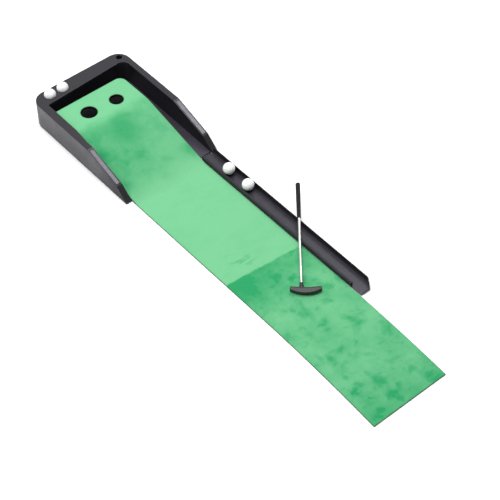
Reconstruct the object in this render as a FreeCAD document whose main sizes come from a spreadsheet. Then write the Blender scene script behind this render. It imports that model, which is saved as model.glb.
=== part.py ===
import FreeCAD, Part
import math
import os
import re

import Sketcher
from FreeCAD import Placement, Rotation, Vector

# Practice putting mat kit: a ramped housing with a ball return, a fabric mat,
# two clip-together return tracks, four balls and a short two-way putter.
# Frame: X across the mat (+X towards the return channel), +Y from the player
# to the housing, +Z up. The origin is on the floor, on the mat's centreline,
# half way along its length.

SIZES = {
    # overall and housing
    "overall_length": 1750,
    "housing_length": 545,
    "mat_width": 300,
    "side_gap": 1,
    "channel_width": 48,
    "wall_width": 23,
    "wall_height": 103,
    "ledge_depth": 51,
    "ledge_skew": 18,
    "skin": 2.5,
    "rear_corner": 50,
    "inner_corner": 28,
    "foot_height": 2,
    "foot_radius": 9,
    "foot_side": 12,
    "foot_middle": 24,
    "foot_front": 50,
    "foot_rear": 62,
    "base_thick": 2,
    "base_notch": 30,
    # wings: the walls fall in two facets towards the front
    "wing_top": 538,
    "wing_knee": 378,
    "wing_knee_height": 49,
    "wing_toe_height": 7,
    "wing_skin": 5,
    "lip_start": 570,
    "lip_full": 640,
    "lip_reach": 7,
    "lip_height": 8,
    "cap_margin": 7,
    "cap_edge": 4,
    "cap_depth": 2,
    "cap_gap": 0.4,
    "cap_lift": 0.3,
    "rib_thick": 2,
    "rib_start": 75,
    "rib_pitch": 72,
    "ledge_rib_start": -120,
    "ledge_rib_pitch": 90,
    # ball scoops and the accessory socket in the rear ledge
    "ball_diameter": 42.67,
    "scoop_gap": 0.45,
    "scoop_left": -109,
    "scoop_pitch": 54,
    "scoop_forward": 3,
    "socket_radius": 11,
    "socket_depth": 30,
    "socket_inset": 28,
    # ramp and platform: the surface that the mat lies on
    "platform_top": 81,
    "ramp_angle": 14.3,
    "toe_start": 290,
    "toe_radius": 120,
    "crest_radius": 150,
    "deck_thick": 3,
    "deck_front": 309,
    "crest_start": 605,
    "deck_split": 643,
    "deck_seam": 0.2,
    "mat_rear": 778,
    "backing_thick": 2,
    "pile_thick": 2,
    "large_hole": 60,
    "large_hole_x": -48,
    "large_hole_y": 701,
    "small_hole": 52,
    "small_hole_x": 64,
    "small_hole_y": 692,
    "collar_depth": 4,
    "collar_wall": 2,
    "hook_thick": 0.8,
    "hook_length": 250,
    "hook_width": 16,
    "hook_front": 132,
    "hook_rear": 28,
    "deck_screw_side": 12,
    "deck_screw_front": 25,
    "deck_screw_rear": 38,
    # ball return: sloped tray under the platform, sloped chute beside it
    "tray_front": 645,
    "tray_left_height": 32,
    "tray_right_height": 18.5,
    "tray_stop_height": 77.5,
    "chute_front": 338,
    "chute_lip_height": 5.9,
    "chute_rear_height": 18,
    "chute_thick": 2.3,
    "guide_rear": 643,
    "leg_start": 440,
    "leg_pitch": 125,
    # fasteners
    "screw_radius": 1.7,
    "screw_head": 3.4,
    "screw_sink": 1.7,
    "screw_length": 14,
    "boss_radius": 4.5,
    "boss_height": 30,
    "boss_offset": 5,
    # return track
    "track_left": 152,
    "track_right": 207,
    "track_rim": 8,
    "track_rim_height": 17,
    "track_floor": 3,
    "track_wall": 2.5,
    "track_wall_height": 27,
    "track_rear": 329.5,
    "track_joint": -41,
    "track_step": 19,
    "track_step_x": 174,
    "track_front": -478,
    "track_gate": 50,
    "track_gap": 0.5,
    "tongue_length": 22,
    "end_drop_start": -445,
    "end_height": 8,
    "turn_along": 27,
    "turn_across": 17,
    "turn_wall": 4,
    # balls in the track
    "track_ball_rear": 218,
    "track_ball_front": 117,
    "rolling_gap": 0.35,
    # putter, lying with its head on the mat and its shaft on the track wall
    "putter_x": 21.5,
    "putter_y": -337,
    "putter_z": 14.1,
    "putter_yaw": 39.8,
    "putter_tilt": 4.1,
    "head_heel": -38,
    "head_toe": 66,
    "head_thick": 16,
    "head_sole_radius": 90,
    "head_sole_centre": 65,
    "head_top_radius": 303,
    "head_top_centre": 302,
    "head_round": 3,
    "spigot_radius": 5,
    "spigot_depth": 12,
    "hosel_length": 19,
    "hosel_base": 7.8,
    "hosel_tip": 6,
    "shaft_start": 4,
    "shaft_radius": 4.7,
    "shaft_bore": 4,
    "grip_start": 285,
    "grip_end": 431,
    "grip_tip": 6.6,
    "grip_butt": 8,
    "cap_length": 4,
    "cap_taper": 1.5,
    "plug_length": 12,
}

LEFT_IN = "(-mat_width / 2 - side_gap)"
LEFT_OUT = f"({LEFT_IN} - wall_width)"
RIGHT_IN = "(mat_width / 2 + side_gap + channel_width)"
RIGHT_OUT = f"({RIGHT_IN} + wall_width)"
WELL_WIDTH = f"({RIGHT_IN} - {LEFT_IN})"
REAR = "(overall_length / 2)"
FRONT = "(-overall_length / 2)"
WING_FRONT = f"({REAR} - housing_length)"
LEDGE_FRONT = f"({REAR} - ledge_depth)"
BASE_TOP = "(foot_height + base_thick)"
DECK_UNDER = "(platform_top - deck_thick)"
SCOOP_Y = f"({REAR} - ledge_depth / 2 - scoop_forward)"
SCOOP_RADIUS = "(ball_diameter / 2 + scoop_gap)"
WING_SLOPE = "((wall_height - wing_knee_height) / (wing_top - wing_knee))"
TRAY_SLOPE = "((tray_left_height - tray_right_height) / mat_width)"
RAMP_RISE = "tan(ramp_angle * 1 deg)"
RAMP_FOOT = "(toe_start + toe_radius * tan(ramp_angle * 0.5 deg))"

DOC = FreeCAD.newDocument("putting_mat")
SHEET = DOC.addObject("Spreadsheet::Sheet", "sizes")
NODES = {}


def fill_sheet():
    for row, (alias, number) in enumerate(SIZES.items(), 1):
        SHEET.set(f"A{row}", alias)
        SHEET.set(f"B{row}", str(number))
        SHEET.setAlias(f"B{row}", alias)
    DOC.recompute()


def bound(text):
    """An expression with every alias of the sheet written in full."""
    def full(word):
        return f"sizes.{word[0]}" if word[0] in SIZES else word[0]
    return re.sub(r"[a-z]\w*", full, str(text))


def value(text):
    """What an expression comes to, in millimetres or degrees."""
    return float(SHEET.evalExpression(bound(text)))


def bind(thing, **settings):
    for path, text in settings.items():
        thing.setExpression(path.replace("__", "."), bound(text))


# ---- building blocks -------------------------------------------------------

def block(name, x, y, z):
    """A box from three (low, high) pairs of expressions."""
    box = DOC.addObject("Part::Box", name)
    for side, low, axis, (start, end) in (
        ("Length", "x", 0, x), ("Width", "y", 1, y), ("Height", "z", 2, z),
    ):
        bind(box, **{side: f"({end}) - ({start})"})
        bind(box, **{f"Placement__Base__{low}": start})
    return box


def rod(name, radius, x, y, z, height):
    """An upright cylinder standing on z."""
    cylinder = DOC.addObject("Part::Cylinder", name)
    bind(cylinder, Radius=radius, Height=height, Placement__Base__x=x,
         Placement__Base__y=y, Placement__Base__z=z)
    return cylinder


def cone(name, low, high, x, y, z, height):
    """An upright cone frustum standing on z."""
    frustum = DOC.addObject("Part::Cone", name)
    bind(frustum, Radius1=low, Radius2=high, Height=height, Placement__Base__x=x,
         Placement__Base__y=y, Placement__Base__z=z)
    return frustum


def sphere(name, radius, x, y, z):
    ball = DOC.addObject("Part::Sphere", name)
    bind(ball, Radius=radius, Placement__Base__x=x, Placement__Base__y=y,
         Placement__Base__z=z)
    return ball


def origin_plane(body, role):
    return next(f for f in body.Origin.OriginFeatures if f.Role == role)


def outline(body, role, points, offset):
    """A closed polygon sketch on an origin plane, each corner bound to the sheet."""
    sketch = body.newObject("Sketcher::SketchObject", f"{body.Name}_outline")
    sketch.AttachmentSupport = [(origin_plane(body, role), "")]
    sketch.MapMode = "FlatFace"
    bind(sketch, AttachmentOffset__Base__z=offset)
    corners = [Vector(value(u), value(v), 0) for u, v in points]
    count = len(corners)
    for i in range(count):
        sketch.addGeometry(Part.LineSegment(corners[i], corners[(i + 1) % count]), False)
    for i in range(count):
        sketch.addConstraint(Sketcher.Constraint("Coincident", i, 2, (i + 1) % count, 1))
    for i, pair in enumerate(points):
        for kind, text in zip(("DistanceX", "DistanceY"), pair):
            number = sketch.addConstraint(
                Sketcher.Constraint(kind, -1, 1, i, 1, value(text)))
            sketch.setExpression(f"Constraints[{number}]", bound(text))
    return sketch


def prism(name, role, points, start, end):
    """A padded polygon. XY runs from z, YZ from x and XZ from y, start to end."""
    body = DOC.addObject("PartDesign::Body", name)
    offset = f"-({end})" if role == "XZ_Plane" else start
    sketch = outline(body, role, points, offset)
    pad = body.newObject("PartDesign::Pad", f"{name}_pad")
    pad.Profile = sketch
    bind(pad, Length=f"({end}) - ({start})")
    return body


def round_uprights(body, corners):
    """Fillets the upright edges at (x, y, radius) expressions."""
    for x, y, radius in corners:
        DOC.recompute()
        base = body.Tip
        at = Vector(value(x), value(y), 0)
        names = [f"Edge{i}" for i, edge in enumerate(base.Shape.Edges, 1)
                 if all(math.hypot(v.X - at.x, v.Y - at.y) < 0.01 for v in edge.Vertexes)]
        fillet = body.newObject("PartDesign::Fillet", f"{body.Name}_fillet")
        fillet.Base = (base, names)
        bind(fillet, Radius=radius)
        body.Tip = fillet
    return body


def fuse(name, *parts):
    union = DOC.addObject("Part::MultiFuse", name)
    union.Shapes = list(parts)
    return union


def cut(name, base, *tools):
    result = DOC.addObject("Part::Cut", name)
    result.Base = base
    result.Tool = tools[0] if len(tools) == 1 else fuse(f"{name}_tools", *tools)
    return result


def common(name, first, second):
    result = DOC.addObject("Part::Common", name)
    result.Base = first
    result.Tool = second
    return result


def group(name, parts):
    """Identical separate solids kept in one node."""
    compound = DOC.addObject("Part::Compound", name)
    compound.Links = list(parts)
    return compound


def node(name, thing):
    thing.Label = name
    NODES[name] = thing
    return thing


# ---- housing ---------------------------------------------------------------

def horseshoe(name, inset, bottom, top, inner_rear, skew="0"):
    """The housing's U-shaped plan, drawn in from its outline by an inset."""
    left, right = f"{LEFT_OUT} + ({inset})", f"{RIGHT_OUT} - ({inset})"
    left_in, right_in = f"{LEFT_IN} - ({inset})", f"{RIGHT_IN} + ({inset})"
    front, rear = f"{WING_FRONT} + ({inset})", f"{REAR} - ({inset})"
    inner = f"{inner_rear} + ({inset})"
    body = prism(name, "XY_Plane", [
        (left, front), (left_in, front), (left_in, f"{inner} - {skew}"), (right_in, inner),
        (right_in, front), (right, front), (right, rear), (left, rear),
    ], bottom, top)
    return round_uprights(body, [
        (left, rear, f"rear_corner - ({inset})"),
        (right, rear, f"rear_corner - ({inset})"),
    ])


def wing_space(name, drop):
    """What lies above the two falling facets of both wings."""
    above = "wall_height + 10"
    before = f"{WING_FRONT} - 5"
    return prism(name, "YZ_Plane", [
        ("wing_top", f"wall_height - ({drop})"),
        ("wing_knee", f"wing_knee_height - ({drop})"),
        (WING_FRONT, f"wing_toe_height - ({drop})"),
        (before, f"wing_toe_height - ({drop})"),
        (before, above), ("wing_top", above),
    ], f"{LEFT_OUT} - 5", f"{RIGHT_OUT} + 5")


def cap_slab(name, wall_low, gap, low, high):
    """A slab along a wing's long facet, from low to high measured off it."""
    first, last = f"(wing_knee + cap_margin + ({gap}))", f"(wing_top - cap_margin - ({gap}))"

    def facet(y, lift):
        return f"wing_knee_height + ({y} - wing_knee) * {WING_SLOPE} + ({lift})"
    return prism(name, "YZ_Plane", [
        (first, facet(first, low)), (last, facet(last, low)),
        (last, facet(last, high)), (first, facet(first, high)),
    ], f"{wall_low} + cap_edge + ({gap})", f"{wall_low} + wall_width - cap_edge - ({gap})")


def wall_ribs():
    """Cross ribs inside the hollow walls, with a screw boss beside every second one."""
    ribs, bosses, holes = [], [], []
    for side, low in (("left", LEFT_OUT), ("right", RIGHT_IN)):
        middle = f"{low} + wall_width / 2"
        for i in range(6):
            y = f"({WING_FRONT} + rib_start + {i} * rib_pitch)"
            ribs.append(block(f"{side}_rib_{i}", (low, f"{low} + wall_width"),
                              (y, f"{y} + rib_thick"), (BASE_TOP, "wall_height")))
            if i % 2 == 0:
                spot = (middle, f"{y} + boss_offset")
                bosses.append(rod(f"{side}_boss_{i}", "boss_radius", *spot, BASE_TOP,
                                  "boss_height"))
                holes.append(spot)
    for i in range(4):
        x = f"(ledge_rib_start + {i} * ledge_rib_pitch)"
        ribs.append(block(f"ledge_rib_{i}", (x, f"{x} + rib_thick"),
                          (f"{LEDGE_FRONT} - ledge_skew", REAR),
                          (BASE_TOP, "wall_height")))
        if i % 2:
            spot = (f"{x} + boss_offset", SCOOP_Y)
            bosses.append(rod(f"ledge_boss_{i}", "boss_radius", *spot, BASE_TOP,
                              "boss_height"))
            holes.append(spot)
    return ribs, bosses, holes


def scoop_spheres(name, radius):
    return [sphere(f"{name}_{i}", radius, f"scoop_left + {i} * scoop_pitch", SCOOP_Y,
                   "wall_height") for i in range(2)]


def socket_rod(name, radius, depth):
    return rod(name, radius, f"{RIGHT_OUT} - socket_inset", f"{REAR} - socket_inset",
               f"wall_height - ({depth})", depth)


def rim_lip():
    """A lip along the top of the left wall, over the mat's edge."""
    rear = f"({LEDGE_FRONT} - ledge_skew + 1)"
    return prism("rim_lip", "XY_Plane", [
        (f"{LEFT_IN} - 1", "lip_start"), (LEFT_IN, "lip_start"),
        (f"{LEFT_IN} + lip_reach", "lip_full"), (f"{LEFT_IN} + lip_reach", rear),
        (f"{LEFT_IN} - 1", rear),
    ], "wall_height - lip_height", "wall_height")


def housing_shell():
    outer = horseshoe("shell_outer", "0", BASE_TOP, "wall_height", LEDGE_FRONT,
                      "ledge_skew")
    round_uprights(outer, [(RIGHT_IN, LEDGE_FRONT, "inner_corner")])
    hollow = horseshoe("shell_hollow", "skin", BASE_TOP, "wall_height - skin", LEDGE_FRONT,
                       "ledge_skew")
    round_uprights(hollow, [(f"{RIGHT_IN} + skin", f"{LEDGE_FRONT} + skin",
                             "inner_corner + skin")])
    ribs, bosses, screw_spots = wall_ribs()
    kept = ribs + bosses + scoop_spheres("scoop_wall", f"{SCOOP_RADIUS} + skin")
    kept.append(socket_rod("socket_wall", "socket_radius + skin", "socket_depth + skin"))
    hollow = cut("shell_cavity", hollow, wing_space("wing_hollow", "wing_skin"), *kept)
    pilots = [rod(f"pilot_{i}", "screw_radius", x, y, BASE_TOP, "screw_length")
              for i, (x, y) in enumerate(screw_spots)]
    recesses = [cap_slab("left_recess", LEFT_OUT, "0", "-cap_depth", "10"),
                cap_slab("right_recess", RIGHT_IN, "0", "-cap_depth", "10")]
    node("housing_shell", cut(
        "housing_shell", fuse("shell_block", outer, rim_lip()),
        wing_space("wing_cut", "0"), hollow, *recesses, *pilots,
        *scoop_spheres("scoop", SCOOP_RADIUS),
        socket_rod("socket", "socket_radius", "socket_depth")))
    for side, low in (("left", LEFT_OUT), ("right", RIGHT_IN)):
        node(f"{side}_wing_cap", cap_slab(f"{side}_wing_cap", low, "cap_gap", "-cap_depth",
                                          "cap_lift"))
    return screw_spots


def screw(name, x, y, z, up):
    """A countersunk screw: its head's flat face at z, its shank going up or down."""
    wide, narrow = "screw_head", "screw_radius"
    if up:
        head = cone(f"{name}_head", wide, narrow, x, y, z, "screw_sink")
        start = f"({z}) + screw_sink"
    else:
        head = cone(f"{name}_head", narrow, wide, x, y, f"({z}) - screw_sink", "screw_sink")
        start = f"({z}) - screw_length"
    shank = rod(f"{name}_shank", narrow, x, y, start, "screw_length - screw_sink")
    return fuse(name, head, shank)


def base_plate(screw_spots):
    plate = horseshoe("base_plan", "0.5", "foot_height", BASE_TOP,
                      f"({WING_FRONT} + base_notch)")
    screws = [screw(f"base_screw_{i}", x, y, "foot_height", True)
              for i, (x, y) in enumerate(screw_spots)]
    base_screws = node("base_screws", group("base_screws", screws))
    node("base_plate", cut("base_plate", plate, base_screws))
    feet = []
    for x in (f"{LEFT_OUT} + foot_side", "foot_middle", f"{RIGHT_OUT} - foot_side"):
        for y in (f"{WING_FRONT} + foot_front", f"{REAR} - foot_rear"):
            feet.append(rod(f"foot_{len(feet)}", "foot_radius", x, y, "0", "foot_height"))
    node("housing_feet", group("housing_feet", feet))


# ---- ramp, platform and mat ------------------------------------------------

def surface_edges(level, start, end):
    """The mat's supporting surface as tangent lines and arcs, lifted by a level."""
    angle = math.radians(value("ramp_angle"))
    sine, cosine = math.sin(angle), math.cos(angle)
    toe, crest = value("toe_radius"), value("crest_radius")
    top = value("platform_top")
    toe_y = value("toe_start")
    run = (top - (toe + crest) * (1 - cosine)) / math.tan(angle)
    crest_y = toe_y + (toe + crest) * sine + run

    def on_toe(turn):
        reach = toe - level
        return Vector(0, toe_y + reach * math.sin(turn), toe - reach * math.cos(turn))

    def on_crest(turn):
        reach = crest + level
        return Vector(0, crest_y - reach * math.sin(turn),
                      top - crest + reach * math.cos(turn))

    return [
        Part.LineSegment(Vector(0, start, level), on_toe(0)).toShape(),
        Part.Arc(on_toe(0), on_toe(angle / 2), on_toe(angle)).toShape(),
        Part.LineSegment(on_toe(angle), on_crest(angle)).toShape(),
        Part.Arc(on_crest(angle), on_crest(angle / 2), on_crest(0)).toShape(),
        Part.LineSegment(on_crest(0), Vector(0, end, top + level)).toShape(),
    ]


def layer(name, low, high):
    """A sheet that follows the floor, the ramp and the platform between two levels."""
    start, end = value(FRONT), value("mat_rear")
    low, high, width = value(low), value(high), value("mat_width")
    lower, upper = surface_edges(low, start, end), surface_edges(high, start, end)
    ends = [
        Part.LineSegment(Vector(0, end, value("platform_top") + low),
                         Vector(0, end, value("platform_top") + high)).toShape(),
        Part.LineSegment(Vector(0, start, high), Vector(0, start, low)).toShape(),
    ]
    wire = Part.Wire(Part.__sortEdges__(lower + upper + ends))
    sheet = DOC.addObject("Part::Feature", name)
    sheet.Shape = Part.Face(wire).extrude(Vector(width, 0, 0))
    sheet.Placement = Placement(Vector(-width / 2, 0, 0), Rotation())
    return sheet


def hole_rods(name, grow):
    return [rod(f"{name}_{which}", f"{which}_hole / 2 + ({grow})", f"{which}_hole_x",
                f"{which}_hole_y", f"{DECK_UNDER} - collar_depth", 30)
            for which in ("large", "small")]


def corner_tool(name, side, rear):
    """What is cut away to round the rear corner on the side of the return channel."""
    square = block(f"{name}_square", (f"{side} - inner_corner", f"{side} + 2"),
                   (f"{rear} - inner_corner", f"{rear} + 2"), (0, "wall_height"))
    arc = rod(f"{name}_arc", "inner_corner", f"{side} - inner_corner",
              f"{rear} - inner_corner", 0, "wall_height")
    return cut(name, square, arc)


def deck_screw_spots():
    across = "mat_width / 2 - deck_screw_side"
    return [(f"{sign}({across})", y) for sign in ("-", "")
            for y in ("tray_front + deck_screw_front", "mat_rear - deck_screw_rear")]


def hook_blocks():
    half = "hook_length / 2"
    return [block(f"hook_{i}", (f"-{half}", half), (y, f"({y}) + hook_width"),
                  ("platform_top - hook_thick", "platform_top"))
            for i, y in enumerate(("mat_rear - hook_front", "mat_rear - hook_rear"))]


def under_ramp(first, last):
    """Corners inside the ramp's skin, from its crest down to its foot."""
    def on_slope(y):
        return f"({y} - {RAMP_FOOT}) * {RAMP_RISE} - deck_thick / 2"
    return [(last, "platform_top - deck_thick / 2"), ("crest_start", on_slope("crest_start")),
            (first, on_slope(first))]


def ramp_ribs():
    """Upright ribs that carry the ramp on the base plate."""
    first, last = f"({WING_FRONT} + base_notch + 2)", "(tray_front - 4)"
    ribs = []
    for i in range(5):
        x = f"(-mat_width / 2 + 3 + {i} * (mat_width - 8) / 4)"
        ribs.append(prism(f"ramp_rib_{i}", "YZ_Plane", [
            (first, BASE_TOP), (last, BASE_TOP), *under_ramp(first, last),
        ], x, f"{x} + rib_thick"))
    return ribs


def ramp_and_mat():
    corner = corner_tool("mat_corner", "mat_width / 2", "mat_rear")
    holes = hole_rods("hole", "0")
    sheet = layer("deck_sheet", "-deck_thick", "0")
    plates = [common(f"{name}_plate", sheet, block(
        f"{name}_extent", ("-mat_width / 2", "mat_width / 2"), along,
        ("0.3", "platform_top + 1"))) for name, along in (
            ("ramp", ("deck_front", "deck_split")),
            ("platform", ("deck_split + deck_seam", "mat_rear - 2")))]
    node("ramp", fuse("ramp", plates[0], *ramp_ribs()))
    collars = [rod(f"{which}_collar", f"{which}_hole / 2 + collar_wall", f"{which}_hole_x",
                   f"{which}_hole_y", f"{DECK_UNDER} - collar_depth",
                   "collar_depth + 1") for which in ("large", "small")]
    hooks = node("hook_strips", group("hook_strips", hook_blocks()))
    screws = node("deck_screws", group("deck_screws", [
        screw(f"deck_screw_{i}", x, y, "platform_top", False)
        for i, (x, y) in enumerate(deck_screw_spots())]))
    node("platform", cut("platform", fuse("platform_body", plates[1], *collars), corner,
                         *holes, hooks, screws))
    backing = layer("backing_sheet", "0", "backing_thick")
    pile = layer("pile_sheet", "backing_thick", "backing_thick + pile_thick")
    node("mat_backing", cut("mat_backing", backing, corner, *holes))
    node("mat_pile", cut("mat_pile", pile, corner, *holes))
    return screws


# ---- ball return inside the housing ----------------------------------------

def return_tray(screws):
    """Sloped floor that sends holed and overrun balls across to the chute."""
    left, right = "(-mat_width / 2 - 0.5)", "(mat_width / 2 + 0.5)"

    def top(x, drop):
        return f"tray_left_height - ({x} + mat_width / 2) * {TRAY_SLOPE} - ({drop})"

    def behind(x):
        return f"({LEDGE_FRONT} - 0.5 - ledge_skew * ({RIGHT_IN} - {x}) / {WELL_WIDTH})"
    rear = f"({LEDGE_FRONT} - 0.5)"
    slab = prism("tray_slab", "XZ_Plane", [
        (left, BASE_TOP), (right, BASE_TOP), (right, top(right, 0)), (left, top(left, 0)),
    ], "tray_front", rear)
    beyond = prism("tray_beyond", "XY_Plane", [
        (LEFT_IN, behind(LEFT_IN)), (RIGHT_IN, rear), (RIGHT_IN, REAR), (LEFT_IN, REAR),
    ], "0", "wall_height")
    bays = []
    for i in range(5):
        low = f"({left} + rib_thick + {i} * (mat_width - 1) / 5)"
        high = f"({low} + (mat_width - 1) / 5 - rib_thick)"
        bays.append(prism(f"tray_bay_{i}", "XZ_Plane", [
            (low, f"{BASE_TOP} - 1"), (high, f"{BASE_TOP} - 1"), (high, top(high, "skin")),
            (low, top(low, "skin")),
        ], "tray_front + rib_thick", f"{behind(low)} - rib_thick"))
    stop = block("tray_stop", (left, right), ("tray_front", "tray_front + rib_thick"),
                 (BASE_TOP, "tray_stop_height"))
    posts = [rod(f"tray_post_{i}", "boss_radius", x, y, "tray_right_height - 3",
                 f"{DECK_UNDER} - tray_right_height + 3")
             for i, (x, y) in enumerate(deck_screw_spots())]
    node("return_tray", cut("return_tray", fuse(
        "tray_body", cut("tray_shell", slab, *bays), stop, *posts), screws, beyond))


def return_chute():
    """Sloped floor beside the ramp that hands the balls to the track."""
    left, right = "(mat_width / 2 + side_gap + 0.2)", f"({RIGHT_IN} - 0.3)"
    rear = f"({LEDGE_FRONT} - 3)"
    fall = f"((chute_rear_height - chute_lip_height) / ({rear} - chute_front))"

    def top(y, drop):
        return f"chute_lip_height + ({y} - chute_front) * {fall} - ({drop})"
    floor = prism("chute_floor", "YZ_Plane", [
        ("chute_front", top("chute_front", "chute_thick")), (rear, top(rear, "chute_thick")),
        (rear, top(rear, "0")), ("chute_front", "chute_lip_height"),
    ], left, right)
    first = "(chute_front + 4)"
    guide = prism("chute_guide", "YZ_Plane", [
        (first, top(first, "1")), ("guide_rear", top("guide_rear", "1")),
        *under_ramp(first, "guide_rear"),
    ], left, f"{left} + rib_thick")
    legs = []
    for i in range(4):
        y = f"(leg_start + {i} * leg_pitch)"
        legs.append(block(f"chute_leg_{i}", (left, right), (y, f"{y} + rib_thick"),
                          (BASE_TOP, top(y, "1"))))
    node("return_chute", cut("return_chute", fuse("chute_body", floor, guide, *legs),
                             corner_tool("chute_corner", right, rear)))


# ---- return track on the floor ---------------------------------------------

def track_prism(name, start, end):
    rim, floor = "(track_left + track_rim)", "track_floor"
    wall = "(track_right - track_wall)"
    section = prism(name, "XZ_Plane", [
        ("track_left", 0), ("track_left", "track_rim_height"), (rim, "track_rim_height"),
        (rim, floor), (wall, floor), (wall, "track_wall_height"),
        ("track_right", "track_wall_height"), ("track_right", 0),
    ], start, end)
    hollow = block(f"{name}_rim_hollow", ("track_left + 2", f"{rim} - 2"),
                   (f"({start}) - 1", f"({end}) + 1"), (-1, "track_rim_height - 2"))
    return cut(f"{name}_section", section, hollow)


def track_sections():
    joint, step = "track_joint", "(track_joint - track_step)"
    rear = cut("rear_step", track_prism("rear_run", step, "track_rear"), block(
        "rear_step_cut", ("track_left - 1", "track_step_x"), (f"{step} - 1", joint),
        (-1, "track_wall_height + 1")))
    tongue = block("rear_tongue", ("track_left + track_rim + 2", f"{RIGHT_IN} - 2"),
                   ("track_rear - 1", "track_rear + tongue_length"), (0.4, "track_floor"))
    node("track_rear_section", fuse("track_rear_section", rear, tongue))

    low, high = f"{step} - track_gap", f"{joint} - track_gap"
    run = cut("front_step", track_prism("front_run", "track_front", high), block(
        "front_step_cut", ("track_step_x - track_gap", "track_right + 1"),
        (low, f"{high} + 1"), (-1, "track_wall_height + 1")))
    gate = ("track_front - 1", "track_front + track_gate")
    gate_floor = block("gate_floor", ("track_left", "track_left + track_rim"),
                       ("track_front", "track_front + track_gate"), (0, "track_floor"))
    gate_cut = block("gate_cut", ("track_left - 1", "track_left + track_rim + 0.01"), gate,
                     ("track_floor", "track_wall_height"))
    stop = block("end_stop", ("track_left + track_rim", "track_right"),
                 ("track_front", "track_front + track_wall"), (0, "track_wall_height"))
    turn = prism("end_turn", "XY_Plane", [
        ("track_right", "track_front + turn_along"),
        ("track_right - turn_across", "track_front"),
        ("track_right - turn_across - turn_wall", "track_front"),
        ("track_right - track_wall", "track_front + turn_along + turn_wall"),
    ], 0, "track_wall_height")
    corner = prism("end_corner", "XY_Plane", [
        ("track_right + turn_across", "track_front + 2 * turn_along"),
        ("track_right - 2 * turn_across", "track_front - turn_along"),
        ("track_right + turn_across", "track_front - turn_along"),
    ], -1, "track_wall_height + 1")
    drop = prism("end_drop", "YZ_Plane", [
        ("end_drop_start", "track_wall_height"), ("track_front", "end_height"),
        ("track_front - 1", "end_height"), ("track_front - 1", "track_wall_height + 2"),
        ("end_drop_start", "track_wall_height + 2"),
    ], "track_left - 1", "track_right + 1")
    node("track_front_section", cut("track_front_section", fuse(
        "front_body", cut("front_gate", run, gate_cut), gate_floor, stop, turn),
        corner, drop))


# ---- balls -----------------------------------------------------------------

def balls():
    radius = "ball_diameter / 2"
    for i, side in enumerate(("left", "right")):
        node(f"ball_ledge_{side}", sphere(f"ball_ledge_{side}", radius,
                                          f"scoop_left + {i} * scoop_pitch", SCOOP_Y,
                                          "wall_height"))
    middle = "(track_left + track_rim + track_right - track_wall) / 2"
    for place in ("rear", "front"):
        node(f"ball_track_{place}", sphere(
            f"ball_track_{place}", radius, middle, f"track_ball_{place}",
            f"track_floor + rolling_gap + {radius}"))


# ---- putter ----------------------------------------------------------------

def putter_frame():
    """Where the putter lies: local X heel to toe, Y up the shaft, Z its upper face."""
    turn = Rotation(Vector(0, 0, 1), -value("putter_yaw"))
    tilt = Rotation(Vector(1, 0, 0), value("putter_tilt"))
    spot = Vector(value("putter_x"), value("putter_y"), value("putter_z"))
    return Placement(spot, turn * tilt)


def along_shaft(thing):
    """Lays an upright piece along the putter's shaft."""
    thing.Placement = putter_frame() * Placement(
        Vector(), Rotation(Vector(1, 0, 0), -90))
    return thing


def round_all(name, base, radius):
    DOC.recompute()
    fillet = DOC.addObject("Part::Fillet", name)
    fillet.Base = base
    size = value(radius)
    fillet.Edges = [(i, size, size) for i in range(1, len(base.Shape.Edges) + 1)]
    return fillet


def putter_head():
    """Crescent blade: a curved sole, a hollow top line and rounded edges."""
    half, centre = "head_thick / 2", "(head_heel + head_toe) / 2"
    span = block("head_span", ("head_heel", "head_toe"), (-40, 20), (f"-{half}", half))
    sole = rod("head_sole", "head_sole_radius", centre, "head_sole_centre", f"-{half} - 1",
               "head_thick + 2")
    hollow = rod("head_hollow", "head_top_radius", centre, "head_top_centre",
                 f"-{half} - 1", "head_thick + 2")
    blank = cut("head_blank", common("head_crescent", span, sole), hollow)
    rounded = round_all("head_rounded", blank, "head_round")
    bore = rod("head_bore", "spigot_radius", 0, 0, 0, "spigot_depth + 10")
    bore.Placement = Placement(Vector(), Rotation(Vector(1, 0, 0), -90))
    bind(bore, Placement__Base__y="-spigot_depth")
    head = node("putter_head", cut("putter_head", rounded, bore))
    head.Placement = putter_frame()


def putter_rest():
    flare = cone("hosel_flare", "hosel_base", "hosel_tip", 0, 0, 0, "hosel_length")
    spigot = rod("hosel_spigot", "spigot_radius", 0, 0, "-spigot_depth", "spigot_depth")
    bore = rod("hosel_bore", "shaft_radius", 0, 0, "shaft_start", "hosel_length")
    along_shaft(node("putter_hosel", cut("putter_hosel", fuse(
        "hosel_body", flare, spigot), bore)))
    tube = rod("shaft_tube", "shaft_radius", 0, 0, "shaft_start", "grip_end - shaft_start")
    inside = rod("shaft_inside", "shaft_bore", 0, 0, 0, "grip_end + 1")
    along_shaft(node("putter_shaft", cut("putter_shaft", tube, inside)))
    sleeve = cone("grip_sleeve", "grip_tip", "grip_butt", 0, 0, "grip_start",
                  "grip_end - grip_start")
    grip_bore = rod("grip_bore", "shaft_radius", 0, 0, "grip_start - 1", "grip_end")
    along_shaft(node("putter_grip", cut("putter_grip", sleeve, grip_bore)))
    cap = cone("cap_disc", "grip_butt", "grip_butt - cap_taper", 0, 0, "grip_end",
               "cap_length")
    plug = rod("cap_plug", "shaft_bore", 0, 0, "grip_end - plug_length", "plug_length")
    along_shaft(node("putter_grip_cap", fuse("putter_grip_cap", cap, plug)))


# ---- build, check and write ------------------------------------------------

def check():
    DOC.recompute()
    for thing in DOC.Objects:
        if {"Invalid", "Error"} & set(thing.State):
            raise RuntimeError(f"{thing.Name} failed: {thing.State}")
    for name, thing in NODES.items():
        if thing.Shape.isNull() or not thing.Shape.isValid():
            raise RuntimeError(f"{name} has no valid shape")


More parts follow.
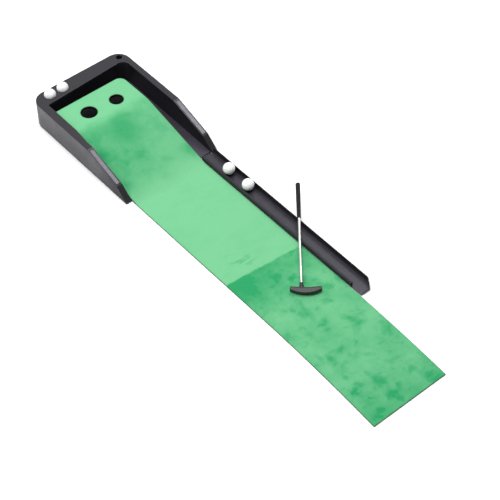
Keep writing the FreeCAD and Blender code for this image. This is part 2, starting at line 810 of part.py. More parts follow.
def write():
    os.makedirs("parts", exist_ok=True)
    for name, thing in NODES.items():
        thing.Shape.exportStep(f"parts/{name}.step")
        print(f"{name}: {len(thing.Shape.Solids)} solid(s), {thing.Shape.Volume:.0f} mm3")


fill_sheet()
base_plate(housing_shell())
deck_screws = ramp_and_mat()
return_tray(deck_screws)
return_chute()
track_sections()
balls()
putter_head()
putter_rest()
check()
write()
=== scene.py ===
import math

import bmesh
import bpy
from mathutils import Euler, Matrix, Vector, noise
from mathutils.bvhtree import BVHTree
from mathutils.geometry import delaunay_2d_cdt
from mathutils.kdtree import KDTree


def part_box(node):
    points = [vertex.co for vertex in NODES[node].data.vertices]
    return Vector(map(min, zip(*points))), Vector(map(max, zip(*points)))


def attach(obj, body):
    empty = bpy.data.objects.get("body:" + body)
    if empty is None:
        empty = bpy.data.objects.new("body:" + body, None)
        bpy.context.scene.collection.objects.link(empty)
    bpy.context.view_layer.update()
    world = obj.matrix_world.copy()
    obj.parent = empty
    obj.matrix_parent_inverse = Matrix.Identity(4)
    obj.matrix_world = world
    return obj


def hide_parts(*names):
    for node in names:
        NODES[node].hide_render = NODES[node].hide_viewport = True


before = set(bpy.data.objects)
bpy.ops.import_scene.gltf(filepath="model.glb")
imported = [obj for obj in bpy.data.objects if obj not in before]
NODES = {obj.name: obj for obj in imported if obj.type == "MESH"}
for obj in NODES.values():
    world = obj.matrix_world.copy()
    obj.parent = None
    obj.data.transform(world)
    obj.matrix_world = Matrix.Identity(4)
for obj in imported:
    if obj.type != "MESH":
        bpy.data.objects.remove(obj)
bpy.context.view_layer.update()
SCENE = bpy.context.scene


# ---- camera, light and floor -------------------------------------------------

CAMERA_PLACE = (-2.1489, -2.6919, 3.7832)
CAMERA_TURNS = (39.75, 48.26, -0.69)
CAMERA_LENS = 111.47
WHITE = (1, 1, 1, 1)


def add_camera():
    azimuth, pitch, roll = (math.radians(turn) for turn in CAMERA_TURNS)
    forward = Vector((math.sin(azimuth) * math.cos(pitch),
                      math.cos(azimuth) * math.cos(pitch), -math.sin(pitch)))
    level = forward.cross(Vector((0, 0, 1))).normalized()
    upright = level.cross(forward)
    right = level * math.cos(roll) + upright * math.sin(roll)
    up = upright * math.cos(roll) - level * math.sin(roll)
    data = bpy.data.cameras.new("view")
    data.sensor_width = 36
    data.lens = CAMERA_LENS
    data.clip_end = 100
    camera = bpy.data.objects.new("view", data)
    turned_axes = Matrix((right, up, -forward)).transposed()
    camera.matrix_world = Matrix.Translation(CAMERA_PLACE) @ turned_axes.to_4x4()
    SCENE.collection.objects.link(camera)
    SCENE.camera = camera


def add_light(name, place, target, size, power):
    data = bpy.data.lights.new(name, "AREA")
    data.shape = "SQUARE"
    data.size = size
    data.energy = power
    lamp = bpy.data.objects.new(name, data)
    lamp.location = place
    lamp.rotation_euler = (Vector(target) - Vector(place)).to_track_quat("-Z", "Y").to_euler()
    SCENE.collection.objects.link(lamp)


def add_studio():
    world = bpy.data.worlds.new("studio")
    world.use_nodes = True
    nodes, links = world.node_tree.nodes, world.node_tree.links
    split = nodes.new("ShaderNodeSeparateXYZ")
    links.new(nodes.new("ShaderNodeTexCoord").outputs["Generated"], split.inputs[0])
    level = nodes["Background"].inputs["Strength"]
    both = nodes.new("ShaderNodeMath")
    both.operation = "MULTIPLY"
    links.new(both.outputs[0], level)
    for axis, (low, high, dark, bright) in ((1, (-0.60, 0.25, 0.28, 0.95)),
                                            (2, (0.05, 0.55, 0.30, 1.0))):
        fade = nodes.new("ShaderNodeMapRange")
        fade.interpolation_type = "SMOOTHSTEP"
        for key, value in (("From Min", low), ("From Max", high), ("To Min", dark),
                           ("To Max", bright)):
            fade.inputs[key].default_value = value
        links.new(split.outputs[axis], fade.inputs["Value"])
        links.new(fade.outputs[0], both.inputs[axis - 1])
    nodes["Background"].inputs["Color"].default_value = WHITE
    SCENE.world = world
    SCENE.view_settings.view_transform = "Standard"
    add_light("overhead", (-0.3, 0.5, 4.4), (0, 0, 0), 2.6, 135)
    add_light("key", (-2.6, 1.6, 3.2), (0, 0, 0), 1.4, 36)
    add_light("gloss", (2.35, 0.75, 4.3), (0.2, 0.45, 0), 1.5, 48)
    bpy.ops.mesh.primitive_plane_add(size=20, location=(0, 0, -0.0004))
    floor = bpy.context.object
    floor.name = "floor"
    paper = Look("floor_paper", roughness=0.75)
    grain = paper.noise(40, detail=3)
    paper.set("Base Color", paper.mix(grain, (0.94, 0.94, 0.94), (0.96, 0.96, 0.96)))
    floor.data.materials.append(paper.material)


# ---- procedural materials ------------------------------------------------------

def linear(*rgb):
    """Display values from 0 to 255 as linear colour."""
    return tuple(((c / 255 + 0.055) / 1.055) ** 2.4 if c > 10 else c / 3295 for c in rgb)


class Look:
    """A Principled material with short calls for its procedural nodes."""

    def __init__(self, name, **sockets):
        self.material = bpy.data.materials.new(name)
        self.material.use_nodes = True
        self.tree = self.material.node_tree
        self.shader = self.tree.nodes["Principled BSDF"]
        for key, value in sockets.items():
            title = key.replace("_", " ").title().replace("Ior", "IOR")
            self.shader.inputs[title].default_value = value
        self.place = self.add("ShaderNodeTexCoord").outputs["Object"]

    def add(self, kind, **settings):
        found = self.tree.nodes.new(kind)
        for key, value in settings.items():
            setattr(found, key, value)
        return found

    def put(self, socket, value):
        if isinstance(value, bpy.types.NodeSocket):
            self.tree.links.new(value, socket)
        elif isinstance(value, tuple) and len(value) == 3 and socket.type == "RGBA":
            socket.default_value = (*value, 1)
        else:
            socket.default_value = value

    def set(self, name, value):
        self.put(self.shader.inputs[name], value)

    def stretched(self, x, y, z):
        found = self.add("ShaderNodeMapping", vector_type="POINT")
        self.put(found.inputs["Vector"], self.place)
        found.inputs["Scale"].default_value = (x, y, z)
        return found.outputs["Vector"]

    def noise(self, scale, detail=2.0, rough=0.5, twist=0.0, at=None):
        found = self.add("ShaderNodeTexNoise")
        self.put(found.inputs["Vector"], at or self.place)
        for key, value in (("Scale", scale), ("Detail", detail), ("Roughness", rough),
                           ("Distortion", twist)):
            found.inputs[key].default_value = value
        return found.outputs["Fac"]

    def cells(self, scale, at=None):
        found = self.add("ShaderNodeTexVoronoi")
        self.put(found.inputs["Vector"], at or self.place)
        found.inputs["Scale"].default_value = scale
        return found.outputs["Distance"]

    def math(self, operation, a, b=0.0, clamp=False):
        found = self.add("ShaderNodeMath", operation=operation, use_clamp=clamp)
        self.put(found.inputs[0], a)
        self.put(found.inputs[1], b)
        return found.outputs[0]

    def span(self, value, low, high, to_low=0.0, to_high=1.0):
        found = self.add("ShaderNodeMapRange")
        for key, item in (("Value", value), ("From Min", low), ("From Max", high),
                          ("To Min", to_low), ("To Max", to_high)):
            self.put(found.inputs[key], item)
        return found.outputs[0]

    def soft(self, value, zero, one):
        """A smooth step from 0 to 1 between two values, which may fall."""
        found = self.add("ShaderNodeMapRange", interpolation_type="SMOOTHSTEP")
        low, high = min(zero, one), max(zero, one)
        for key, item in (("Value", value), ("From Min", low), ("From Max", high),
                          ("To Min", float(zero > one)), ("To Max", float(zero < one))):
            self.put(found.inputs[key], item)
        return found.outputs[0]

    def blob(self, x, y, spot, reach):
        """A round soft patch, 1 in its middle and 0 at its reach."""
        across, along = (self.math("POWER", self.math("SUBTRACT", item, at), 2.0)
                         for item, at in zip((x, y), spot))
        return self.soft(self.math("SQRT", self.math("ADD", across, along)), reach, 0.0)

    def mix(self, factor, a, b):
        found = self.add("ShaderNodeMix", data_type="RGBA")
        self.put(found.inputs[0], factor)
        self.put(found.inputs[6], a)
        self.put(found.inputs[7], b)
        return found.outputs[2]

    def bump(self, height, distance, strength=1.0):
        found = self.add("ShaderNodeBump")
        found.inputs["Strength"].default_value = strength
        found.inputs["Distance"].default_value = distance
        self.put(found.inputs["Height"], height)
        self.set("Normal", found.outputs[0])


def plastic_look(name, dark, light, low_rough, high_rough, painted_shade_and_dull=None):
    """Moulded plastic: a fine spark grain, faint flow marks and uneven polish.

    The last argument names an axis and the two places between which the colour darkens,
    as painted shade, and the surface turns rougher.
    """
    look = Look(name, specular_tint=(0.98, 0.95, 1.08, 1))
    flow = look.noise(7, detail=3, at=look.stretched(1, 0.35, 1))
    tone = look.mix(flow, dark, light)
    rough = look.span(look.noise(26, detail=3), 0.3, 0.7, low_rough, high_rough)
    if painted_shade_and_dull:
        axis, start, stop = painted_shade_and_dull
        split = look.add("ShaderNodeSeparateXYZ")
        look.put(split.inputs[0], look.place)
        share = look.soft(split.outputs[axis], start, stop)
        # painted shade: past the given place the colour darkens to near black
        tone = look.mix(share, tone, linear(6, 6, 8))
        rough = look.math("ADD", rough, look.math("MULTIPLY", share, 0.24))
    look.set("Base Color", tone)
    look.set("Roughness", rough)
    look.bump(look.noise(1500, detail=2, rough=0.6), 0.00006, 0.5)
    return look.material


def pile_look():
    """Short velour: light where the pile leans away, dark where it was brushed back."""
    look = Look("velour", roughness=0.92, specular_ior_level=0.2, sheen_weight=0.10,
                sheen_roughness=0.5, sheen_tint=(0.45, 1.0, 0.55, 1))
    split = look.add("ShaderNodeSeparateXYZ")
    look.put(split.inputs[0], look.place)
    x, y = split.outputs[0], split.outputs[1]
    leftward = look.soft(x, 0.11, -0.10)

    # the ramp: brushed back between its foot and the crest, most on the left
    waver = look.math("MULTIPLY", look.math("SUBTRACT", look.noise(9, detail=2), 0.5), 0.09)
    up = look.math("ADD", y, waver)
    band = look.math("MULTIPLY", look.soft(up, 0.665, 0.605), look.math(
        "ADD", look.math("MULTIPLY", look.soft(up, 0.318, 0.345), 0.35),
        look.math("MULTIPLY", look.soft(up, 0.335, 0.400), 0.65)))
    depth = look.math("ADD", 0.30, look.math("MULTIPLY", leftward, 0.22))
    for spot, reach, strength in (((0.010, 0.565), 0.100, 0.42), ((-0.130, 0.500), 0.060, 0.34),
                                  ((-0.020, 0.470), 0.070, 0.12), ((0.060, 0.430), 0.070, -0.12),
                                  ((0.135, 0.385), 0.040, 0.30), ((-0.130, 0.375), 0.045, 0.26)):
        depth = look.math("ADD", depth, look.math("MULTIPLY", look.blob(x, up, spot, reach),
                                                  strength))
    ramp = look.math("MULTIPLY", band, depth)

    # the player's end: a crisp slanted edge, deep at first, paler further on
    wobble = look.math("MULTIPLY", look.math("SUBTRACT", look.noise(40, detail=2), 0.5), 0.008)
    slant = look.math("ADD", look.math("ADD", y, wobble), look.math("MULTIPLY", x, 0.093))
    edge = look.soft(slant, -0.175, -0.185)
    fresh = look.math("MULTIPLY", look.soft(slant, -0.390, -0.200),
                      look.math("ADD", 0.22, look.math("MULTIPLY", leftward, 0.50)))
    ending = look.math("MULTIPLY", look.soft(slant, -0.700, -0.880), 0.30)
    front = look.math("MULTIPLY", edge, look.math("ADD", 0.34, look.math("ADD", fresh, ending)))

    # marks left by shoes and fingers, and short strokes before the edge
    brushed = look.math("ADD", edge, look.math("MULTIPLY", band, 0.45), clamp=True)
    blots = look.soft(look.noise(14, detail=3, rough=0.52, twist=0.35), 0.500, 0.700)
    specks = look.soft(look.noise(32, detail=2, rough=0.5, twist=0.3), 0.560, 0.740)
    drift = look.span(look.noise(11, detail=5, rough=0.65), 0.30, 0.70, -0.20, 0.20)
    marks = look.math("ADD", look.math("MULTIPLY", blots, 0.48),
                      look.math("MULTIPLY", specks, 0.24))
    marks = look.math("ADD", marks, drift)
    strokes = look.soft(look.noise(30, detail=2, rough=0.5, at=look.stretched(0.55, 1.6, 1)),
                        0.545, 0.60)
    strokes = look.math("MULTIPLY", strokes, look.blob(x, y, (-0.050, -0.118), 0.085))
    broad = look.span(look.noise(6, detail=3), 0.3, 0.7, -0.05, 0.09)
    streaks = look.noise(24, detail=4, rough=0.6, at=look.stretched(0.6, 1.3, 1))
    cloud = look.math("ADD", broad, look.span(streaks, 0.3, 0.7, -0.06, 0.06))
    amount = look.math("ADD", look.math("ADD", ramp, front),
                       look.math("ADD", look.math("MULTIPLY", brushed, marks),
                                 look.math("ADD", cloud, look.math("MULTIPLY", strokes, 0.42))),
                       clamp=True)
    pale, deep = linear(112, 185, 136), linear(36, 147, 91)
    tone = look.mix(amount, pale, deep)
    # The rounded cut rim darkens: partly the cut edge's own darker pile, partly painted shade
    # where the rim turns down.
    rim = look.add("ShaderNodeAttribute", attribute_name="rim").outputs["Fac"]
    tone = look.mix(look.math("MULTIPLY", rim, 0.75), tone, (0.030, 0.135, 0.058))
    fibre = look.span(look.noise(900, detail=3, rough=0.7), 0.30, 0.75, 0.0, 0.22)
    look.set("Base Color", look.mix(fibre, tone, (0.02, 0.14, 0.05)))
    height = look.math("ADD", look.noise(2600, detail=2, rough=0.7),
                       look.math("MULTIPLY", look.noise(120, detail=3), 1.4))
    look.bump(height, 0.0006, 0.35)
    return look.material


def backing_look():
    look = Look("backing_foam", roughness=0.85)
    look.set("Base Color", look.mix(look.noise(180, detail=4), linear(52, 40, 32),
                                    linear(92, 74, 60)))
    look.bump(look.cells(700), 0.0003, 0.5)
    return look.material


def rubber_look(name, dark, light):
    look = Look(name, roughness=0.70, specular_ior_level=0.22)
    look.set("Base Color", look.mix(look.noise(140, detail=3), dark, light))
    look.bump(look.noise(1800, detail=2), 0.00008, 0.6)
    return look.material


def metal_look(name, tint, darker, low_rough, high_rough, along=(1, 1, 1)):
    look = Look(name, metallic=1.0)
    drawn = look.noise(60, detail=4, at=look.stretched(*along))
    look.set("Base Color", look.mix(drawn, tint, darker))
    look.set("Roughness", look.span(drawn, 0.3, 0.7, low_rough, high_rough))
    look.bump(look.noise(900, detail=2, at=look.stretched(*along)), 0.00001, 0.3)
    return look.material


def ball_look():
    look = Look("ball_cover", coat_weight=0.35, coat_roughness=0.12, specular_ior_level=0.5)
    look.set("Base Color", look.mix(look.noise(90, detail=3), (0.86, 0.86, 0.87),
                                    (0.90, 0.90, 0.91)))
    look.set("Roughness", look.span(look.noise(240, detail=2), 0.3, 0.7, 0.26, 0.38))
    return look.material


def enamel_look(name, dark, light, low_rough, high_rough):
    look = Look(name, coat_weight=0.15, coat_roughness=0.3)
    look.set("Base Color", look.mix(look.noise(70, detail=3), dark, light))
    look.set("Roughness", look.span(look.noise(300, detail=3), 0.3, 0.7, low_rough,
                                    high_rough))
    look.bump(look.noise(2400, detail=2), 0.00004, 0.5)
    return look.material


# ---- helpers for shapes --------------------------------------------------------

def piece(name, vertices, faces, material, body, node):
    mesh = bpy.data.meshes.new(name)
    mesh.from_pydata([tuple(v) for v in vertices], [], faces)
    mesh.validate()
    made = bpy.data.objects.new(name, mesh)
    SCENE.collection.objects.link(made)
    mesh.materials.append(material)
    mesh.shade_smooth()
    settle(made, body, node)
    return made


def settle(made, body, node):
    """Puts a finished piece on its body and in place of its CAD node."""
    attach(made, body)
    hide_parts(node)


JOIN_DISTANCE = 0.00002
SHARP_EDGE = math.radians(32)
EDGE_REACH = 0.09


def mark_open_edges(mesh, low):
    """Weighs the convex edges above a level that no other part of the piece faces."""
    joined = bmesh.new()
    joined.from_mesh(mesh)
    bmesh.ops.remove_doubles(joined, verts=joined.verts, dist=JOIN_DISTANCE)
    joined.normal_update()
    tree = BVHTree.FromBMesh(joined)
    places = KDTree(len(joined.verts))
    for vertex in joined.verts:
        places.insert(vertex.co, vertex.index)
    places.balance()
    found = set()
    for edge in joined.edges:
        if len(edge.link_faces) != 2 or not edge.is_convex:
            continue
        if edge.calc_face_angle() < SHARP_EDGE or max(v.co.z for v in edge.verts) < low:
            continue
        way = (edge.link_faces[0].normal + edge.link_faces[1].normal).normalized()
        middle = (edge.verts[0].co + edge.verts[1].co) / 2
        if tree.ray_cast(middle + way * 0.0003, way, EDGE_REACH)[0] is None:
            found.add(frozenset(v.index for v in edge.verts))
    joined.free()
    same = [places.find(vertex.co)[1] for vertex in mesh.vertices]
    weights = mesh.attributes.new("bevel_weight_edge", "FLOAT", "EDGE")
    weights.data.foreach_set("value", [
        float(frozenset(same[i] for i in edge.vertices) in found) for edge in mesh.edges])


def dress(node, material, edge=None, low=0.0):
    """A CAD node keeps its shape, gets a better material and softened open edges."""
    made = NODES[node]
    for slot in made.material_slots:
        slot.material = material
    if edge:
        mark_open_edges(made.data, low)
        weld = made.modifiers.new("join", "WELD")
        weld.merge_threshold = JOIN_DISTANCE
        bevel = made.modifiers.new("edges", "BEVEL")
        bevel.width = edge
        bevel.segments = 3
        bevel.limit_method = "WEIGHT"
        bevel.use_clamp_overlap = False
        bevel.harden_normals = True


# ---- the mat ---------------------------------------------------------------------

HALF_WIDTH, FRONT, REAR = 0.150, -0.875, 0.778
ANGLE = math.radians(14.3)
TOE_START, TOE_RADIUS, CREST_RADIUS, TOP = 0.290, 0.120, 0.150, 0.081
RISE = TOP - (TOE_RADIUS + CREST_RADIUS) * (1 - math.cos(ANGLE))
CREST_Y = TOE_START + (TOE_RADIUS + CREST_RADIUS) * math.sin(ANGLE) + RISE / math.tan(ANGLE)
TOE_END = TOE_START + TOE_RADIUS * ANGLE
CREST_START = TOE_END + RISE / math.sin(ANGLE)
CREST_END = CREST_START + CREST_RADIUS * ANGLE
FLAT_REAR = REAR + CREST_END - CREST_Y
CORNER = 0.028
HOLES = ((-0.048, 0.701, 0.030), (0.064, 0.692, 0.026))
BACKING_THICK, MAT_THICK = 0.0020, 0.0040
RIM_INSETS = (0.0, 0.0005, 0.0013, 0.0024)
MESH_STEP = 0.0060


def lifted(along, level):
    """Where a point along the mat's length lies, a level above what the mat rests on."""
    if along <= TOE_START:
        return along, level
    if along <= TOE_END:
        turn, reach = (along - TOE_START) / TOE_RADIUS, TOE_RADIUS - level
        return TOE_START + reach * math.sin(turn), TOE_RADIUS - reach * math.cos(turn)
    if along <= CREST_START:
        run, reach = along - TOE_END, TOE_RADIUS - level
        return (TOE_START + reach * math.sin(ANGLE) + run * math.cos(ANGLE),
                TOE_RADIUS - reach * math.cos(ANGLE) + run * math.sin(ANGLE))
    if along <= CREST_END:
        turn, reach = (CREST_END - along) / CREST_RADIUS, CREST_RADIUS + level
        return CREST_Y - reach * math.sin(turn), TOP - CREST_RADIUS + reach * math.cos(turn)
    return CREST_Y + along - CREST_END, TOP + level


def mat_edge(x, along):
    """How far inside the mat's edge a point of the flat mat is; negative outside it."""
    inside = min(HALF_WIDTH - abs(x), along - FRONT, FLAT_REAR - along)
    cx, cy = HALF_WIDTH - CORNER, FLAT_REAR - CORNER
    if x > cx and along > cy:
        inside = min(inside, CORNER - math.hypot(x - cx, along - cy))
    for hx, hy, radius in HOLES:
        inside = min(inside, math.hypot(x - hx, along - (hy + CREST_END - CREST_Y)) - radius)
    return inside


def mat_loops(inset):
    """The mat's outline and its holes as closed loops, drawn in by an inset."""
    side, front, rear = HALF_WIDTH - inset, FRONT + inset, FLAT_REAR - inset
    step = MESH_STEP
    loop = [(-side + i * step, front) for i in range(int(2 * side / step))]
    loop += [(side, front + i * step) for i in range(int((rear - CORNER - front) / step))]
    for i in range(13):
        turn = i / 12 * math.pi / 2
        loop.append((HALF_WIDTH - CORNER + (CORNER - inset) * math.cos(turn),
                     FLAT_REAR - CORNER + (CORNER - inset) * math.sin(turn)))
    low = HALF_WIDTH - CORNER
    loop += [(low - i * step, rear) for i in range(1, int((low + side) / step))]
    loop += [(-side, rear - i * step) for i in range(int((rear - front) / step))]
    loops = [loop]
    for hx, hy, radius in HOLES:
        middle = hy + CREST_END - CREST_Y
        reach = radius + inset
        loops.append([(hx + reach * math.cos(t), middle + reach * math.sin(t))
                      for t in (i / 56 * math.tau for i in range(56))])
    return loops


def flat_mat():
    """The mat's flat cut as points and triangles, with rims ready to be rounded."""
    points, edges = [], []
    for inset in RIM_INSETS:
        for loop in mat_loops(inset):
            start = len(points)
            points += loop
            edges += [(start + i, start + (i + 1) % len(loop)) for i in range(len(loop))]
    step = MESH_STEP
    rows = int((FLAT_REAR - FRONT) / step) + 1
    columns = int(2 * HALF_WIDTH / step) + 1
    for row in range(rows):
        for column in range(columns):
            spot = (-HALF_WIDTH + (column + 0.5 * (row % 2)) * step, FRONT + row * step)
            if mat_edge(*spot) > 0.0045:
                points.append(spot)
    found = delaunay_2d_cdt([Vector(p) for p in points], edges, [], 0, 1e-7)
    flat = [tuple(p) for p in found[0]]
    kept = []
    for face in found[2]:
        middle = [sum(flat[i][axis] for i in face) / 3 for axis in (0, 1)]
        if mat_edge(*middle) > 0:
            kept.append(tuple(face))
    return flat, kept


def bowed(y):
    """The free end of the mat drifts away from the track."""
    return -0.0170 * max(0.0, (-0.375 - y) / 0.5) ** 1.8


def mat_sheet(name, flat, faces, low, high, relief, rounding, material, node):
    """A closed sheet between two levels, with an uneven top and a rounded rim."""
    upper, lower = [], []
    for x, along in flat:
        inside = mat_edge(x, along)
        fall = rounding * max(0.0, 1 - inside / RIM_INSETS[-1]) ** 2
        rough = relief * noise.noise(Vector((x * 130, along * 130, 3.1)))
        rough += relief * 0.8 * noise.noise(Vector((x * 28, along * 19, 7.7)))
        y, z = lifted(along, high - fall + (rough if inside > 0.001 else 0.0))
        upper.append((x + bowed(y), y, z))
        y, z = lifted(along, low)
        lower.append((x + bowed(y), y, z))
    count = len(flat)
    seen = {}
    for face in faces:
        for i in range(3):
            edge = (face[i], face[(i + 1) % 3])
            seen[tuple(sorted(edge))] = None if tuple(sorted(edge)) in seen else edge
    walls = [(b, a, a + count, b + count) for a, b in filter(None, seen.values())]
    under = [tuple(i + count for i in reversed(face)) for face in faces]
    made = piece(name, upper + lower, [*faces, *under, *walls], material, "housing", node)
    # rim: how near the cut edge a point lies; the cloth darkens there, partly its own colour,
    # partly painted shade.
    rim = made.data.attributes.new("rim", "FLOAT", "POINT")
    shares = [max(0.0, 1 - mat_edge(x, along) / 0.0026) for x, along in flat]
    rim.data.foreach_set("value", shares * 2)
    return made


def add_mat():
    flat, faces = flat_mat()
    cloth = mat_sheet("mat_cloth", flat, faces, BACKING_THICK, MAT_THICK, 0.00022, 0.0011,
                      pile_look(), "mat_pile")
    underlay = mat_sheet("mat_underlay", flat, faces, 0.0, BACKING_THICK, 0.0, 0.0,
                         backing_look(), "mat_backing")


# ---- balls -----------------------------------------------------------------------

BALL_RADIUS = 0.02133
DIMPLE_RADIUS, DIMPLE_DEPTH = 0.0020, 0.00055


def ball_mesh(material):
    """A golf ball with real dimples on a geodesic pattern."""
    pattern = bmesh.new()
    bmesh.ops.create_icosphere(pattern, subdivisions=1, radius=1)
    bmesh.ops.subdivide_edges(pattern, edges=pattern.edges[:], cuts=5, use_grid_fill=True)
    centres = KDTree(len(pattern.verts))
    for i, vertex in enumerate(pattern.verts):
        centres.insert(vertex.co.normalized(), i)
    centres.balance()
    shape = bmesh.new()
    bmesh.ops.create_icosphere(shape, subdivisions=7, radius=1)
    for vertex in shape.verts:
        out = vertex.co.normalized()
        share = centres.find(out)[2] * BALL_RADIUS / DIMPLE_RADIUS
        depth = DIMPLE_DEPTH * (1 - share ** 2) if share < 1 else 0.0
        vertex.co = out * (BALL_RADIUS - depth)
    mesh = bpy.data.meshes.new("dimpled_ball")
    shape.to_mesh(mesh)
    pattern.free()
    shape.free()
    mesh.shade_smooth()
    mesh.materials.append(material)
    return mesh


def add_balls():
    dimpled = ball_mesh(ball_look())
    for i, (node, body) in enumerate((
            ("ball_ledge_left", "ball_in_left_scoop"),
            ("ball_ledge_right", "ball_in_right_scoop"),
            ("ball_track_rear", "ball_in_track_rear"),
            ("ball_track_front", "ball_in_track_front"))):
        low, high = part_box(node)
        mesh = dimpled.copy()
        mesh.transform(Euler((0.4 + i, 1.3 * i, 2.1 * i)).to_matrix().to_4x4())
        ball = bpy.data.objects.new(f"dimpled_{node}", mesh)
        ball.location = (Vector(low) + Vector(high)) / 2
        SCENE.collection.objects.link(ball)
        bpy.context.view_layer.update()
        settle(ball, body, node)


# ---- putter ------------------------------------------------------------------------

PUTTER = (Matrix.Translation((0.0215, -0.337, 0.0141))
          @ Matrix.Rotation(math.radians(-39.8), 4, "Z")
          @ Matrix.Rotation(math.radians(4.1), 4, "X"))


def turned(name, profile, material, node, flat=None, around=56):
    """A piece turned about the shaft from (distance, radius) pairs, closed at both ends.

    flat is how high its upper side may stand, as a share of its radius.
    """
    vertices, faces = [], []
    for along, radius in profile:
        for i in range(around):
            turn = i / around * math.tau
            height = radius * math.sin(turn)
            if flat:
                height = min(height, flat * radius)
            vertices.append(PUTTER @ Vector((radius * math.cos(turn), along, height)))
    for ring in range(len(profile) - 1):
        for i in range(around):
            a, b = ring * around + i, ring * around + (i + 1) % around
            faces.append((a, a + around, b + around, b))
    faces.append(tuple(range(around)))
    faces.append(tuple(reversed(range((len(profile) - 1) * around, len(profile) * around))))
    made = piece(name, vertices, faces, material, "putter", node)
    made.data.set_sharp_from_angle(angle=math.radians(40))


def head_outline():
    """The crescent's outline seen from above its upper face, heel to toe."""
    middle, half = 0.014, 0.052

    def crown(x):
        return -0.0012 + 0.0050 * ((x - middle) / half) ** 2

    def sole(x):
        return 0.065 - math.sqrt(0.090 ** 2 - (x - middle) ** 2)
    points, ends = [], 0.0058
    inner = half - ends
    for i in range(61):
        x = middle - inner + 2 * inner * i / 60
        points.append((x, sole(x)))
    for sign, order in ((1, range(1, 12)), (-1, range(11, 0, -1))):
        x = middle + sign * inner
        low, high = sole(x), crown(x)
        centre, reach = (low + high) / 2, (high - low) / 2
        cap = [(x + sign * ends * math.sin(i / 12 * math.pi),
                centre - reach * math.cos(i / 12 * math.pi)) for i in order]
        points += cap
        if sign == 1:
            across = [middle + inner - 2 * inner * i / 60 for i in range(61)]
            points += [(x, crown(x)) for x in across]
    return points


def head_piece(material):
    """The head's crescent blade with rounded edges and a shallow recess in its face."""
    outline = [Vector(p) for p in head_outline()]
    count = len(outline)
    inward = []
    for i in range(count):
        run = (outline[(i + 1) % count] - outline[i - 1]).normalized()
        inward.append(Vector((-run.y, run.x)))
    rings = [(-0.0079, 0.0036), (-0.0075, 0.0019), (-0.0062, 0.0006), (-0.0042, 0.0),
             (0.0046, 0.0), (0.0064, 0.0005), (0.0075, 0.0015), (0.0079, 0.0026),
             (0.0079, 0.0036), (0.0071, 0.0041)]
    vertices, faces = [], []
    for height, inset in rings:
        for spot, way in zip(outline, inward):
            at = spot + way * inset
            vertices.append(PUTTER @ Vector((at.x, at.y, height)))
    for ring in range(len(rings) - 1):
        for i in range(count):
            a, b = ring * count + i, ring * count + (i + 1) % count
            faces.append((a, b, b + count, a + count))
    faces.append(tuple(reversed(range(count))))
    faces.append(tuple(range((len(rings) - 1) * count, len(rings) * count)))
    made = piece("blade_head", vertices, faces, material, "putter",
                 "putter_head")
    made.data.set_sharp_from_angle(angle=math.radians(50))


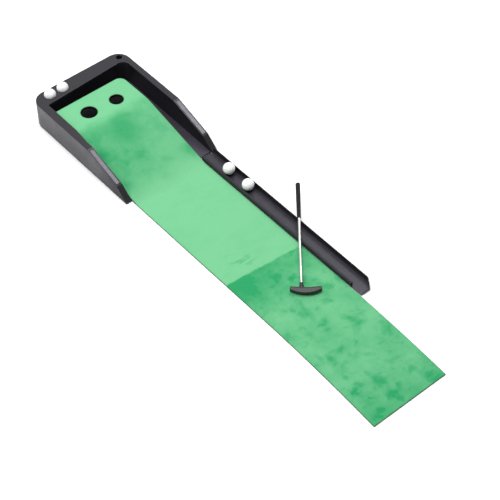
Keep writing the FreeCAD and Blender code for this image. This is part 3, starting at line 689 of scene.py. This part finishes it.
def add_putter():
    satin = enamel_look("head_satin", linear(30, 28, 29), linear(40, 37, 38), 0.42, 0.56)
    black = enamel_look("hosel_enamel", linear(22, 21, 23), linear(34, 32, 35), 0.35, 0.5)
    rubber = rubber_look("grip_rubber", linear(18, 18, 19), linear(28, 28, 29))
    head_piece(satin)
    turned("flared_hosel", [
        (-0.0060, 0.0079), (0.0010, 0.0079), (0.0030, 0.0078), (0.0060, 0.0073),
        (0.0100, 0.0066), (0.0140, 0.0062), (0.0150, 0.0060), (0.0153, 0.0056),
        (0.0158, 0.0056), (0.0161, 0.0060), (0.0180, 0.0060), (0.0188, 0.0058),
        (0.0190, 0.0053), (0.0190, 0.0048)], black, "putter_hosel")
    start, end, pitch = 0.285, 0.431, 0.0026
    profile = [(start, 0.0049), (start, 0.0060), (start + 0.0006, 0.0065)]
    for i in range(int((end - start - 0.012) / pitch)):
        along = start + 0.005 + i * pitch
        radius = 0.0066 + 0.0014 * (along - start) / (end - start)
        profile += [(along, radius), (along + 0.0012, radius),
                    (along + 0.0015, radius - 0.00032), (along + 0.0021, radius - 0.00032),
                    (along + 0.0024, radius)]
    profile += [(end - 0.004, 0.0080), (end - 0.0005, 0.0080), (end, 0.0078), (end, 0.0049)]
    turned("ribbed_grip", profile, rubber, "putter_grip", flat=0.82)
    turned("grip_end", [
        (end - 0.001, 0.0060), (end + 0.0001, 0.0080), (end + 0.0016, 0.0078),
        (end + 0.0029, 0.0070), (end + 0.0037, 0.0056), (end + 0.0040, 0.0036),
        (end + 0.0040, 0.0016), (end + 0.0032, 0.0012), (end + 0.0030, 0.0003)],
        rubber, "putter_grip_cap")
    dress("putter_shaft", metal_look("shaft_chrome", (0.86, 0.84, 0.82), (0.78, 0.76, 0.74),
                                     0.10, 0.20, (60, 4, 60)))


# ---- the CAD nodes that keep their shape ---------------------------------------------

def dress_plastic():
    # The shell's colour darkens towards its front, below y = 0.37 m, as painted shade; it also
    # turns rougher.
    shell = plastic_look("abs_shell", linear(24, 23, 27), linear(31, 29, 34), 0.30, 0.42,
                         (1, 0.500, 0.370))
    # The wing caps: the same black plastic in a lighter grey, as painted reflection of the
    # lamps.
    panel = plastic_look("abs_panel_painted_reflection", linear(80, 78, 82), linear(90, 88, 92), 0.27, 0.36)
    # The parts inside and under the housing: a darker copy of the shell plastic, as painted
    # shade.
    inner = plastic_look("abs_inner_painted_shade", linear(10, 10, 11), linear(15, 14, 16), 0.45, 0.60)
    # The track's colour darkens above 15 mm, on its rim tops, as painted shade; it also turns
    # rougher.
    track = plastic_look("abs_track", linear(34, 32, 38), linear(44, 41, 48), 0.34, 0.48,
                         (2, 0.0095, 0.0150))
    dress("housing_shell", shell, 0.0014, 0.008)
    for side in ("left", "right"):
        dress(f"{side}_wing_cap", panel, 0.0006)
    dress("base_plate", inner)
    dress("ramp", inner)
    dress("platform", inner)
    dress("return_tray", inner)
    chute = plastic_look("abs_chute", linear(44, 41, 50), linear(54, 50, 60), 0.34, 0.46)
    dress("return_chute", chute, 0.0008, 0.008)
    for place in ("rear", "front"):
        dress(f"track_{place}_section", track, 0.0010, 0.008)
    dress("housing_feet", rubber_look("foot_rubber", linear(26, 26, 27), linear(38, 38, 39)),
          0.0004)
    steel = metal_look("screw_steel", (0.62, 0.61, 0.59), (0.48, 0.47, 0.46), 0.24, 0.40)
    dress("base_screws", steel)
    dress("deck_screws", steel)
    hooks = Look("hook_tape", roughness=0.8)
    hooks.set("Base Color", hooks.mix(hooks.cells(900), linear(18, 18, 18),
                                      linear(40, 40, 40)))
    hooks.bump(hooks.cells(900), 0.0004, 0.8)
    dress("hook_strips", hooks.material)


add_camera()
add_studio()
add_mat()
add_balls()
add_putter()
dress_plastic()
